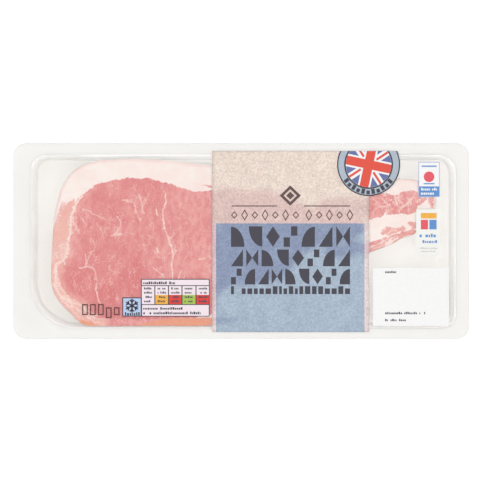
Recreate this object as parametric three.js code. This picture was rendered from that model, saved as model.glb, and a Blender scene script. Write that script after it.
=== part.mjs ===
// A sealed pack of sliced back bacon: a white thermoformed tray, eight rashers stacked in its well, a clear
// lidding film over the flange, a printed label band and a white date panel on the film. It lies flat.
// Millimetres. +X runs along the pack, +Y across it towards the rashers' back fat, +Z up. The origin is on
// the surface that the tray stands on, below the middle of the pack.

import * as THREE from "three";

// ---- Driving dimensions ----

const PACK = { length: 268, width: 115.4, corner: 8 };
const TRAY_HEIGHT = 20; // top of the flange above the table
const WALL = 0.7; // thickness of the tray's sheet
const FLANGE_EDGE = 0.2; // rounding of the flange's cut edge

// The well's outline at the flange, with its four different corner radii.
const WELL = {
  left: -122.9,
  right: 125.2,
  front: -50.4,
  back: 50.0,
  frontLeft: 26,
  frontRight: 7.5,
  backRight: 10,
  backLeft: 9,
};
const RIM_RADIUS = 1.6; // where the flange turns down into the wall
const FLOOR_RADIUS = 2.2; // where the wall turns into the floor
const DRAFT = THREE.MathUtils.degToRad(4.5);

const LAYER_GAP = 0.2; // between pieces that lie on each other
const FILM = { thickness: 0.25, setback: 0.6, corner: 7.4 };
const PRINT_THICKNESS = 0.2;

const LABEL = { left: -17.1, right: 74.9, front: -53.3, back: 52.7 };
const BADGE = { x: 74.6, y: 44.8, radius: 18.5 }; // round badge that overhangs the label's right edge
const DATE_PANEL = { left: 77.2, right: 121.6, front: -49.8, back: -15.8, corner: 1 };

const RASHERS = 8;
const RASHER_EDGE = 0.55; // rounding of a rasher's cut edges
const WELL_CLEARANCE = 0.45; // between a rasher and the tray's wall
const RASHER_STEP = 0.14; // each rasher lies this much further left than the one above
const RASHER_TURN = THREE.MathUtils.degToRad(0.06); // and is turned this much, about its tail end
const TAIL_END = new THREE.Vector2(105, 20);
const RASHER_POINTS = 108; // points round a rasher's outline
const RASHER_WAVER = 0.7; // how far an outline falls short of the top rasher's at most

// The top rasher's outline, anticlockwise from the left end: the round loin at the left, the streaky tail at
// the right, the back fat along +Y.
const RASHER_OUTLINE = [
  [-110.9, -5.3],
  [-111.3, -16.0],
  [-111.1, -25.6],
  [-109.0, -32.0],
  [-105.4, -37.2],
  [-100.6, -41.6],
  [-96.4, -46.2],
  [-92.0, -49.2],
  [-82.0, -49.8],
  [-53.5, -49.7],
  [-17.1, -49.4],
  [0.0, -46.8],
  [17.0, -41.0],
  [37.4, -30.4],
  [56.7, -17.8],
  [75.0, -6.9],
  [87.6, -2.2],
  [93.6, 1.5],
  [101.4, 4.0],
  [110.5, 13.4],
  [114.1, 22.6],
  [110.8, 31.0],
  [102.6, 35.4],
  [83.1, 36.9],
  [52.0, 38.7],
  [16.8, 41.0],
  [-17.1, 44.2],
  [-47.6, 47.6],
  [-71.1, 48.0],
  [-91.5, 45.0],
  [-102.9, 35.6],
  [-108.9, 17.6],
];

// ---- Colours and finishes ----

const finish = (color, roughness, more = {}) =>
  new THREE.MeshStandardMaterial({ color, roughness, metalness: 0, ...more });

const FINISH = {
  tray: finish(0xf3f2ef, 0.42),
  film: finish(0xffffff, 0.08, { transparent: true, opacity: 0.16 }),
  label: finish(0xe6d9cb, 0.4),
  datePanel: finish(0xf8f8f8, 0.4),
  rasher: finish(0xe99b99, 0.45),
};

// ---- Outlines ----

const CORNER_STEPS = 9;
const SIDE_STEPS = 4;

// Points of a rectangle whose corners have their own radii, anticlockwise from the front right corner's start.
// Every outline has the same number of points in the same order, so that any two can be joined by a band.
function roundedOutline({ left, right, front, back, frontLeft, frontRight, backRight, backLeft }) {
  const corners = [
    [right - frontRight, front + frontRight, frontRight, -Math.PI / 2],
    [right - backRight, back - backRight, backRight, 0],
    [left + backLeft, back - backLeft, backLeft, Math.PI / 2],
    [left + frontLeft, front + frontLeft, frontLeft, Math.PI],
  ];
  const points = [];
  corners.forEach(([x, y, radius, start], i) => {
    for (let k = 0; k <= CORNER_STEPS; k++) {
      const angle = start + (k / CORNER_STEPS) * (Math.PI / 2);
      points.push(new THREE.Vector2(x + radius * Math.cos(angle), y + radius * Math.sin(angle)));
    }
    const [nextX, nextY, nextRadius, nextStart] = corners[(i + 1) % 4];
    const from = points[points.length - 1].clone();
    const to = new THREE.Vector2(
      nextX + nextRadius * Math.cos(nextStart),
      nextY + nextRadius * Math.sin(nextStart),
    );
    for (let k = 1; k < SIDE_STEPS; k++) points.push(from.clone().lerp(to, k / SIDE_STEPS));
  });
  return points;
}

// A rectangle drawn in by a distance on every side, or out where the distance is negative.
const inset = (box, by) => ({
  left: box.left + by,
  right: box.right - by,
  front: box.front + by,
  back: box.back - by,
  frontLeft: box.frontLeft - by,
  frontRight: box.frontRight - by,
  backRight: box.backRight - by,
  backLeft: box.backLeft - by,
});

const evenBox = (length, width, corner) => ({
  left: -length / 2,
  right: length / 2,
  front: -width / 2,
  back: width / 2,
  frontLeft: corner,
  frontRight: corner,
  backRight: corner,
  backLeft: corner,
});

// ---- Solids ----

// A closed solid from rings of equal count. The first and last rings are flat and are filled in.
function loft(rings) {
  const count = rings[0].length;
  const positions = rings.flatMap((ring) => ring.flatMap((p) => [p.x, p.y, p.z]));
  const index = [];
  const flat = (ring) => ring.map((p) => new THREE.Vector2(p.x, p.y));
  const last = (rings.length - 1) * count;
  for (const [a, b, c] of THREE.ShapeUtils.triangulateShape(flat(rings[0]), [])) index.push(c, b, a);
  for (const [a, b, c] of THREE.ShapeUtils.triangulateShape(flat(rings[rings.length - 1]), []))
    index.push(last + a, last + b, last + c);
  for (let r = 0; r + 1 < rings.length; r++) {
    for (let i = 0; i < count; i++) {
      const a = r * count + i;
      const b = r * count + ((i + 1) % count);
      index.push(a, b, b + count, a, b + count, a + count);
    }
  }
  const geometry = new THREE.BufferGeometry();
  geometry.setAttribute("position", new THREE.Float32BufferAttribute(positions, 3));
  geometry.setIndex(index);
  geometry.computeVertexNormals();
  return geometry;
}

const at = (outline, z) => outline.map((p) => new THREE.Vector3(p.x, p.y, z));

// A flat sheet with an outline, lying between two heights.
const sheet = (outline, low, high) => loft([at(outline, low), at(outline, high)]);

const arc = (x, z, radius, from, to, steps) =>
  Array.from({ length: steps + 1 }, (_, k) => {
    const angle = from + ((to - from) * k) / steps;
    return [x + radius * Math.cos(angle), z + radius * Math.sin(angle)];
  });

// ---- Tray ----

// The well's section as [distance in from the well's outline, height], from the flange down to the floor.
// below is 0 for the upper face of the sheet and the sheet's thickness for the lower face.
function wellSection(below) {
  const rim = { in: -RIM_RADIUS, z: TRAY_HEIGHT - RIM_RADIUS };
  const floorTop = WALL + FLOOR_RADIUS;
  const wallTop = {
    in: rim.in + RIM_RADIUS * Math.cos(DRAFT),
    z: rim.z + RIM_RADIUS * Math.sin(DRAFT),
  };
  const run = (wallTop.z - floorTop + FLOOR_RADIUS * Math.sin(DRAFT)) / Math.cos(DRAFT);
  const floorIn = wallTop.in + run * Math.sin(DRAFT) + FLOOR_RADIUS * Math.cos(DRAFT);
  return [
    ...arc(rim.in, rim.z, RIM_RADIUS - below, Math.PI / 2, DRAFT, 5),
    ...arc(floorIn, floorTop, FLOOR_RADIUS + below, Math.PI + DRAFT, (3 * Math.PI) / 2, 6),
  ];
}

function trayGeometry() {
  const edge = evenBox(PACK.length, PACK.width, PACK.corner);
  const ringOf = ([by, z]) => at(roundedOutline(inset(WELL, by)), z);
  const upper = wellSection(0).map(ringOf);
  const lower = wellSection(WALL).map(ringOf);
  const underFlange = TRAY_HEIGHT - WALL;
  return loft([
    ...lower.reverse(),
    at(roundedOutline(inset(edge, FLANGE_EDGE)), underFlange),
    at(roundedOutline(edge), underFlange + FLANGE_EDGE),
    at(roundedOutline(edge), TRAY_HEIGHT - FLANGE_EDGE),
    at(roundedOutline(inset(edge, FLANGE_EDGE)), TRAY_HEIGHT),
    ...upper,
  ]);
}

// ---- Film and print ----

const filmLow = TRAY_HEIGHT + LAYER_GAP;
const filmHigh = filmLow + FILM.thickness;
const printLow = filmHigh + LAYER_GAP;
const printHigh = printLow + PRINT_THICKNESS;

function filmGeometry() {
  const length = PACK.length - 2 * FILM.setback;
  const width = PACK.width - 2 * FILM.setback;
  return sheet(roundedOutline(evenBox(length, width, FILM.corner)), filmLow, filmHigh);
}

// The label is a rectangle, and the badge's disc bulges past its right edge up to the label's back edge.
function labelGeometry() {
  const reach = Math.acos((LABEL.right - BADGE.x) / BADGE.radius);
  const top = Math.asin((LABEL.back - BADGE.y) / BADGE.radius);
  const outline = new THREE.Shape();
  outline.moveTo(LABEL.left, LABEL.front);
  outline.lineTo(LABEL.right, LABEL.front);
  outline.lineTo(LABEL.right, BADGE.y - BADGE.radius * Math.sin(reach));
  outline.absarc(BADGE.x, BADGE.y, BADGE.radius, -reach, top, false);
  outline.lineTo(LABEL.left, LABEL.back);
  const points = outline.extractPoints(16).shape;
  return sheet(distinct(points), printLow, printHigh);
}

const distinct = (points) =>
  points.filter((p, i) => p.distanceTo(points[(i + 1) % points.length]) > 0.01);

function datePanelGeometry() {
  const { corner } = DATE_PANEL;
  const corners = { frontLeft: corner, frontRight: corner, backRight: corner, backLeft: corner };
  return sheet(roundedOutline({ ...DATE_PANEL, ...corners }), printLow, printHigh);
}

// ---- Rashers ----

const RASHER_LOW = WALL + LAYER_GAP;
const RASHER_THICKNESS = (filmLow - RASHER_LOW - RASHERS * LAYER_GAP) / RASHERS;

// Distance of a point from the outline of a rounded rectangle, negative inside, and the way straight out.
function fromOutline(x, y, box) {
  const middleX = (box.left + box.right) / 2;
  const middleY = (box.front + box.back) / 2;
  const sideX = x < middleX ? -1 : 1;
  const sideY = y < middleY ? -1 : 1;
  const name = (sideY < 0 ? "front" : "back") + (sideX < 0 ? "Left" : "Right");
  const radius = box[name];
  const overX = Math.abs(x - middleX) - (box.right - box.left) / 2 + radius;
  const overY = Math.abs(y - middleY) - (box.back - box.front) / 2 + radius;
  if (overX > 0 && overY > 0) {
    const reach = Math.hypot(overX, overY);
    return { distance: reach - radius, outX: (sideX * overX) / reach, outY: (sideY * overY) / reach };
  }
  return overX > overY
    ? { distance: overX - radius, outX: sideX, outY: 0 }
    : { distance: overY - radius, outX: 0, outY: sideY };
}

// How far the wall stands in from the well's outline at a height. It is widest where the floor's curve starts.
function wallInset(z) {
  const section = wellSection(0);
  const level = section.findIndex(([, height]) => height <= z);
  if (level < 1) return section[section.length - 1][0];
  const [inAbove, above] = section[level - 1];
  const [inBelow, below] = section[level];
  return inAbove + ((inBelow - inAbove) * (above - z)) / (above - below);
}

// A point moved in, where it has to be, so that it stays clear of the well's wall at a height.
function insideWell(point, z) {
  const box = inset(WELL, wallInset(z));
  const { distance, outX, outY } = fromOutline(point.x, point.y, box);
  const over = distance + WELL_CLEARANCE;
  return over > 0 ? new THREE.Vector2(point.x - outX * over, point.y - outY * over) : point;
}

// How far a rasher's outline falls short of the top rasher's: three slow waves, never negative, whose phases
// depend on the rasher's number.
function shortfall(share, number) {
  const turn = 2 * Math.PI * share;
  const wave = (weight, cycles, phase) => weight * (1 + Math.sin(cycles * turn + number * phase));
  return (RASHER_WAVER * (wave(1, 3, 2.1) + wave(0.7, 7, 3.7) + wave(0.45, 12, 1.3))) / 4.3;
}

// The top rasher's outline as evenly spaced points with the way straight out at each.
const topOutline = (() => {
  const corners = RASHER_OUTLINE.map(([x, y]) => new THREE.Vector3(x, y, 0));
  const curve = new THREE.CatmullRomCurve3(corners, true, "centripetal");
  return Array.from({ length: RASHER_POINTS }, (_, i) => {
    const share = i / RASHER_POINTS;
    const point = curve.getPointAt(share);
    const along = curve.getTangentAt(share);
    return { share, x: point.x, y: point.y, outX: along.y, outY: -along.x };
  });
})();

// A closed outline drawn in by a distance, each point along the line halfway between its two sides' normals.
function drawnIn(points, by) {
  return points.map((p, i) => {
    const before = points[(i + points.length - 1) % points.length];
    const after = points[(i + 1) % points.length];
    const along = after.clone().sub(before).normalize();
    return new THREE.Vector2(p.x - by * along.y, p.y + by * along.x);
  });
}

// depth is 0 for the top rasher and counts down the stack.
function rasherGeometry(depth) {
  const low = RASHER_LOW + (RASHERS - 1 - depth) * (RASHER_THICKNESS + LAYER_GAP);
  const high = low + RASHER_THICKNESS;
  const outline = topOutline.map(({ share, x, y, outX, outY }) => {
    const short = depth ? shortfall(share, depth) : 0;
    const drawn = new THREE.Vector2(x - short * outX, y - short * outY);
    const turned = drawn.rotateAround(TAIL_END, depth * RASHER_TURN);
    return insideWell(new THREE.Vector2(turned.x - depth * RASHER_STEP, turned.y), low);
  });
  const edge = drawnIn(outline, RASHER_EDGE);
  return loft([
    at(edge, low),
    at(outline, low + RASHER_EDGE),
    at(outline, high - RASHER_EDGE),
    at(edge, high),
  ]);
}

// ---- The pack ----

const pack = new THREE.Group();

function add(name, geometry, material) {
  const mesh = new THREE.Mesh(geometry, material);
  mesh.name = name;
  pack.add(mesh);
}

add("tray", trayGeometry(), FINISH.tray);
for (let depth = 0; depth < RASHERS; depth++) {
  add(`rasher_${depth + 1}`, rasherGeometry(depth), FINISH.rasher);
}
add("film", filmGeometry(), FINISH.film);
add("label", labelGeometry(), FINISH.label);
add("date_panel", datePanelGeometry(), FINISH.datePanel);

export default pack;
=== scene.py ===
# Dresses a sealed pack of sliced back bacon: a white moulded tray, eight rashers, clear film and its print.
# Sizes below are in millimetres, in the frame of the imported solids: +X along the pack, +Y across it, +Z up.
from collections import namedtuple
from math import asin, atan2, cos, degrees, hypot, pi, radians, sin, sqrt
import bpy
import numpy as np
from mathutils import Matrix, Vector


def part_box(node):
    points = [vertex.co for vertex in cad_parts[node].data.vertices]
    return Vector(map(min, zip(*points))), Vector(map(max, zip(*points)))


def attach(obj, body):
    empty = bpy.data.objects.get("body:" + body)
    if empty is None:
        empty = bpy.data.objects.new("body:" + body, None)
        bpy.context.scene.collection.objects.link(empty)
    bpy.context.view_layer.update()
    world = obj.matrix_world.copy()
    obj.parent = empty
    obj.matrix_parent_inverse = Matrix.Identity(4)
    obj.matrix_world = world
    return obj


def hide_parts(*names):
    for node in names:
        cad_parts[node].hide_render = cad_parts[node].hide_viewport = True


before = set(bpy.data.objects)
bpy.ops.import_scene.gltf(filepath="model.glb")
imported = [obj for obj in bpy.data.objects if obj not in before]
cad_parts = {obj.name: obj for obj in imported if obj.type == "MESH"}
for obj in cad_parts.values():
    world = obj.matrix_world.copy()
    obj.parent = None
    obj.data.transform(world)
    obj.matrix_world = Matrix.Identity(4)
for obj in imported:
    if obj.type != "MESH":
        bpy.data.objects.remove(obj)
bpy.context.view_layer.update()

MM = 0.001
Box = namedtuple("Box", "left right front back")


def node_box(name):
    """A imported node's outline box, and its low and high Z, in millimetres."""
    low, high = (np.array(corner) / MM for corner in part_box(name))
    return Box(low[0], high[0], low[1], high[1]), low[2], high[2]


# ---- Driving sizes ----

PACK, _, TRAY_TOP = node_box("tray")
PACK_CORNER = 8.0
WALL = 0.7
WELL = Box(-122.9, 125.2, -50.4, 50.0)
WELL_CORNERS = (7.5, 10.0, 9.0, 26.0)  # front right, back right, back left, front left
WELL_ABOUT = (124, 50.2, 10)  # half length, half width and corner of the well, for the film's ripples
RIM_RADIUS = 1.6
RIM_OPAQUE = 4  # rings of the rim's rounding that are still thick plastic
FOOT_TOP = 3.0  # the plastic is thick again below this height
FLOOR_RADIUS = 2.2
DRAFT = radians(4.5)
FLANGE_DROP = 0.35  # how far the flange's outer edge rolls down
FLANGE_ROLL = 6.0  # width of that roll
EDGE_ROUNDING = 0.15  # of the flange's cut edge

FILM_HIGH = node_box("film")[2]
FILM_THICKNESS = 0.1
FILM_SETBACK = 0.6
PRINT_LIFT = 0.03  # between the film and a first layer of ink
PRINT_STEP = 0.035  # between one layer of ink and the next
INK_THICKNESS = 0.02

LABEL = node_box("label")[0]._replace(right=74.9)  # without the badge that overhangs it
BLUE = Box(-14.8, 72.2, LABEL.front, 10.3)
PANEL = node_box("date_panel")[0]
BADGE_X, BADGE_Y, BADGE_TILT = 74.6, 44.8, radians(-12)
BADGE_OUTER, BADGE_RING, BADGE_LINE = 18.5, 13.4, 0.75  # radii of the rim and the white, width of the line


# ---- Numbers: noise, outlines and distances ----

def patchy(x, y, size, seed):
    """Smooth noise from -1 to 1 with patches about a size across."""
    table = np.random.default_rng(seed).uniform(-1, 1, (256, 256))
    gx, gy = x / size + 300.5, y / size + 300.5
    ix, iy = np.floor(gx).astype(int), np.floor(gy).astype(int)
    fx, fy = gx - ix, gy - iy
    fx, fy = fx * fx * (3 - 2 * fx), fy * fy * (3 - 2 * fy)

    def pick(a, b):
        return table[a % 256, b % 256]

    front = pick(ix, iy) * (1 - fx) + pick(ix + 1, iy) * fx
    back = pick(ix, iy + 1) * (1 - fx) + pick(ix + 1, iy + 1) * fx
    return front * (1 - fy) + back * fy


def step(low, high, value):
    """0 below low, 1 above high, smooth between."""
    t = np.clip((value - low) / (high - low), 0, 1)
    return t * t * (3 - 2 * t)


def lengths(line):
    """The length of a line of points up to each of them."""
    return np.concatenate([[0], np.cumsum(np.hypot(*np.diff(line, axis=0).T))])


def at_lengths(line, along):
    return np.column_stack([np.interp(along, lengths(line), line[:, k]) for k in (0, 1)])


def bend(points, closed, spacing):
    """A smooth curve through the points, as evenly spaced points."""
    p = np.asarray(points, float)
    count = len(p)
    index = np.arange(count if closed else count - 1)

    def at(offset):
        i = index + offset
        return p[i % count] if closed else p[np.clip(i, 0, count - 1)]

    before, start, end, after = at(-1), at(0), at(1), at(2)
    t = np.linspace(0, 1, 24, endpoint=False)[None, :, None]
    fine = 0.5 * (
        2 * start[:, None]
        + (end - before)[:, None] * t
        + (2 * before - 5 * start + 4 * end - after)[:, None] * t**2
        + (3 * start - before - 3 * end + after)[:, None] * t**3
    ).reshape(-1, 2)
    fine = np.vstack([fine, fine[:1] if closed else p[-1:]])
    run = lengths(fine)[-1]
    steps = max(4, int(round(run / spacing)))
    return at_lengths(fine, np.linspace(0, run, steps + (not closed), endpoint=not closed))


def way_to_line(x, y, line):
    """The way along X and Y from each place to the nearest point of a line of points."""
    best = np.full((2,) + x.shape, 1e9)
    for (ax, ay), (bx, by) in zip(line[:-1], line[1:]):
        dx, dy = bx - ax, by - ay
        share = np.clip(((x - ax) * dx + (y - ay) * dy) / (dx * dx + dy * dy + 1e-9), 0, 1)
        way = np.array([ax + share * dx - x, ay + share * dy - y])
        best = np.where(np.hypot(*way) < np.hypot(*best), way, best)
    return best


def from_line(x, y, line, closed=False):
    """Distance of each place from a line of points."""
    ends = np.vstack([line, line[:1]]) if closed else np.asarray(line)
    return np.hypot(*way_to_line(x, y, ends))


def depth_in(x, y, shape):
    """How deep each place lies inside a closed shape, negative outside it."""
    line = bend(shape, True, 1.5)
    inside = np.zeros(x.shape, bool)
    for (ax, ay), (bx, by) in zip(line, np.roll(line, -1, axis=0)):
        crosses = (ay > y) != (by > y)
        inside ^= crosses & (x < ax + (bx - ax) * (y - ay) / (by - ay + 1e-12))
    return np.where(inside, 1, -1) * from_line(x, y, line, closed=True)


def edge_distance(x, y, half_x, half_y, corner):
    """How far in from the edge of a centred rounded rectangle."""
    over_x, over_y = np.abs(x) - half_x + corner, np.abs(y) - half_y + corner
    outside = np.hypot(np.maximum(over_x, 0), np.maximum(over_y, 0))
    return corner - outside - np.minimum(np.maximum(over_x, over_y), 0)


def in_from_flange_edge(x, y):
    return edge_distance(x, y, PACK.right, PACK.back, PACK_CORNER)


def edge_roll(x, y):
    """How far the flange, and the film on it, has rolled down at a place."""
    return FLANGE_DROP * np.clip(1 - in_from_flange_edge(x, y) / FLANGE_ROLL, 0, 1) ** 2


def film_top(x, y):
    """Height of the film's upper face: flat under ink, with slow ripples elsewhere over the well."""
    bare = step(2, 14, edge_distance(x, y, *WELL_ABOUT))
    for box in INKED:
        out_x = np.maximum(0, np.maximum(box[0] - x, x - box[1]))
        out_y = np.maximum(0, np.maximum(box[2] - y, y - box[3]))
        bare = bare * step(0, 5, np.hypot(out_x, out_y))
    ripple = 0.12 * patchy(x, y, 30, 5) + 0.06 * patchy(x, y, 13, 6)
    tension = sum(0.12 * np.exp(-(((y - line) / 1.4) ** 2)) * step(-104, -116, x) for line in TENSION_LINES)
    return FILM_HIGH - edge_roll(x, y) + bare * (ripple + tension)


TENSION_LINES = (15.2, -14.1)  # where the film is drawn into ridges at the left end, in Y
# The boxes that hold ink: the label with its badge, the date panel, the stickers, and the weight and table.
INKED = (
    LABEL._replace(right=BADGE_X + BADGE_OUTER),
    PANEL,
    Box(102.0, 117.0, -9.0, 47.0),
    Box(-94.0, -18.0, -46.0, -22.0),
)


# ---- Meshes ----

def new_object(name, data):
    made = bpy.data.objects.new(name, data)
    bpy.context.scene.collection.objects.link(made)
    return made


def piece(name, points, faces, materials, stands_for=(), smooth=True, index=None):
    """A mesh of millimetre points that rides on the pack."""
    mesh = bpy.data.meshes.new(name)
    mesh.from_pydata((np.asarray(points) * MM).tolist(), [], faces)
    for material in materials:
        mesh.materials.append(material)
    mesh.polygons.foreach_set("use_smooth", np.full(len(mesh.polygons), smooth))
    if index is not None:
        mesh.polygons.foreach_set("material_index", index)
    mesh.update()
    made = new_object(name, mesh)
    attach(made, "root")
    if stands_for:
        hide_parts(*stands_for)
    return made


def store(made, name, values):
    """A number for each vertex, which the materials read by name."""
    attribute = made.data.attributes.new(name, "FLOAT", "POINT")
    attribute.data.foreach_set("value", np.asarray(values, np.float32))


def band(a, b, count):
    """Faces between two rings of equal count, whose first points are numbered a and b."""
    return [(a + i, a + (i + 1) % count, b + (i + 1) % count, b + i) for i in range(count)]


def loft(rings):
    """Points and faces of a closed solid from rings of equal count, the first and last filled in."""
    count = len(rings[0])
    faces = [tuple(range(count))[::-1]]
    for r in range(len(rings) - 1):
        faces += band(r * count, (r + 1) * count, count)
    faces.append(tuple((len(rings) - 1) * count + i for i in range(count)))
    return np.vstack(rings), faces


def grid_faces(ids, flip=False):
    """Faces of a grid of point numbers, columns by rows."""
    quads = np.stack([ids[:-1, :-1], ids[1:, :-1], ids[1:, 1:], ids[:-1, 1:]], axis=-1).reshape(-1, 4)
    return (quads[:, ::-1] if flip else quads).tolist()


def draped(x, y, lift, thickness):
    """A closed sheet over a grid of places (columns by rows), lying a lift above the film.

    Gives its points, its faces and which of those are smooth: its thin sides are not.
    """
    top = np.column_stack([x.ravel(), y.ravel(), (film_top(x, y) + lift).ravel()])
    low = top - [0, 0, thickness]
    ids = np.arange(x.size).reshape(x.shape)
    rim = np.concatenate([ids[:, 0], ids[-1, 1:], ids[-2::-1, -1], ids[0, -2:0:-1]])
    after = np.roll(rim, -1)
    sides = np.column_stack([x.size + rim, x.size + after, after, rim]).tolist()
    sheets = grid_faces(ids) + grid_faces(ids + x.size, flip=True)
    smooth = np.arange(len(sheets) + len(sides)) < len(sheets)
    return np.vstack([top, low]), sheets + sides, smooth


# ---- Node materials ----

STUDIO_GAIN = 1.18  # how bright a white surface shows under the film and the studio light
PRINT_GAIN = 1.24  # and on top of the film


def seen(red, green, blue, gain=STUDIO_GAIN):
    """The surface colour that shows as these screen values, from 0 to 255, under the studio light."""
    parts = np.array([red, green, blue]) / 255
    linear = np.where(parts <= 0.04045, parts / 12.92, ((parts + 0.055) / 1.055) ** 2.4)
    return tuple(np.minimum(1.0, linear / gain)) + (1.0,)


def printed(red, green, blue):
    """The same for ink, which has no film over it."""
    return seen(red, green, blue, PRINT_GAIN)


class Look:
    """A node material that is built up by short calls."""

    def __init__(self, name):
        self.material = bpy.data.materials.new(name)
        self.material.use_nodes = True
        self.tree = self.material.node_tree
        self.tree.nodes.clear()
        self.output = self.add("OutputMaterial")
        self.place = self.add("TexCoord").outputs["Object"]

    def add(self, kind, inputs=(), **settings):
        made = self.tree.nodes.new("ShaderNode" + kind)
        for name, value in settings.items():
            setattr(made, name, value)
        for name, value in dict(inputs).items():
            if isinstance(value, bpy.types.NodeSocket):
                self.tree.links.new(value, made.inputs[name])
            else:
                made.inputs[name].default_value = value
        return made

    def noise(self, size, detail=2.0, stretch=(1, 1, 1), turn=0.0):
        """Noise from 0 to 1 with features about a size in millimetres across."""
        scale = [1 / (MM * size * part) for part in stretch]
        spot = self.add("Mapping", {"Vector": self.place, "Rotation": (0, 0, turn)})
        fit = self.add("VectorMath", {0: spot.outputs[0], 1: scale}, operation="MULTIPLY")
        made = self.add("TexNoise", {"Vector": fit.outputs[0], "Scale": 1.0, "Detail": detail})
        return made.outputs["Fac"]

    def ramp(self, value, low, high, out_low=0.0, out_high=1.0):
        made = self.add(
            "MapRange",
            {"Value": value, "From Min": low, "From Max": high, "To Min": out_low, "To Max": out_high},
            interpolation_type="SMOOTHSTEP",
        )
        return made.outputs[0]

    def mix(self, factor, a, b, blend="MIX"):
        made = self.add("Mix", {0: factor, 6: a, 7: b}, data_type="RGBA", blend_type=blend)
        return made.outputs[2]

    def times(self, a, b):
        return self.mix(1.0, a, b, "MULTIPLY")

    def value(self, name):
        return self.add("Attribute", attribute_name=name).outputs["Fac"]

    def op(self, a, b, operation="ADD"):
        return self.add("Math", {0: a, 1: b}, operation=operation).outputs[0]

    def bump(self, height, strength, distance):
        made = self.add("Bump", {"Height": height, "Strength": strength, "Distance": distance * MM})
        return made.outputs[0]

    def surface(self, **inputs):
        """Ends the material with one Principled shader."""
        named = {name.replace("_", " "): value for name, value in inputs.items()}
        shader = self.add("BsdfPrincipled", named)
        self.tree.links.new(shader.outputs[0], self.output.inputs[0])
        return self.material


# Where the plastic's shade is painted brighter, as painted light against the shade there: from and to X
# towards the right end, from and to Y along the back, and from and to the distance from the middle past
# which the back does not.
TO_RIGHT = (-110 * MM, 90 * MM)
TO_BACK = (45.5 * MM, 48 * MM)
BACK_ENDS = (98 * MM, 80 * MM)


def tray_plastic(name, shade, painted_light_shade=None, clear=0.0, right=0.0, back=0.0):
    """Satin white plastic. Where it is drawn clear, outside light shows through.

    Its shade is painted brighter by the shares given, as painted light: towards the right end, where the
    print on the film shades the well, and along the back, where the rashers stand close to the wall and shade
    it.
    """
    look = Look(name)
    base = shade + (1.0,)
    if painted_light_shade:
        place = look.add("SeparateXYZ", {"Vector": look.place}).outputs
        to_right = look.ramp(place["X"], *TO_RIGHT, 0.0, right)
        behind = look.ramp(look.op(place["X"], 0.0, "ABSOLUTE"), *BACK_ENDS, 0.0, back)
        to_back = look.ramp(place["Y"], *TO_BACK, 0.0, behind)
        # Painted light: the shade is brighter towards the right end and along the back, where the well lies
        # in shade.
        base = look.mix(look.op(to_right, to_back, "MAXIMUM"), base, painted_light_shade + (1.0,))
    base = look.times(base, look.ramp(look.noise(18, 3), 0.3, 0.7, 0.99, 1.01))
    inside = {}
    if clear:
        inside = dict(Subsurface_Weight=1.0, Subsurface_Radius=(1.0, 1.0, 1.0), Subsurface_Scale=clear * MM)
    grain = look.op(look.noise(2.6, 3), look.noise(0.5, 2))
    rough = look.ramp(look.noise(9, 2), 0.3, 0.7, 0.36, 0.46)
    bump = look.bump(grain, 0.35, 0.05)
    return look.surface(Base_Color=base, Roughness=rough, IOR=1.49, Normal=bump, **inside)


def clear_film():
    """Clear film. Both of its faces mirror by their slant alone, so it stays clear from a low angle too."""
    look = Look("clear_film")
    clear = look.add("BsdfTransparent", {"Color": (0.998, 0.998, 0.997, 1)})
    crinkle = look.bump(look.noise(7, 3, (1, 2.4, 1)), 0.25, 0.12)
    gloss = look.add("BsdfGlossy", {"Color": (1, 1, 1, 1), "Roughness": 0.2, "Normal": crinkle})
    slant = look.add("LayerWeight", {"Blend": 0.5, "Normal": crinkle}).outputs["Facing"]
    share = look.op(look.op(look.op(slant, 5.0, "POWER"), 0.98, "MULTIPLY"), 0.017)
    both = look.add("MixShader", {0: share, 1: clear.outputs[0], 2: gloss.outputs[0]})
    look.tree.links.new(both.outputs[0], look.output.inputs[0])
    return look.material


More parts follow.
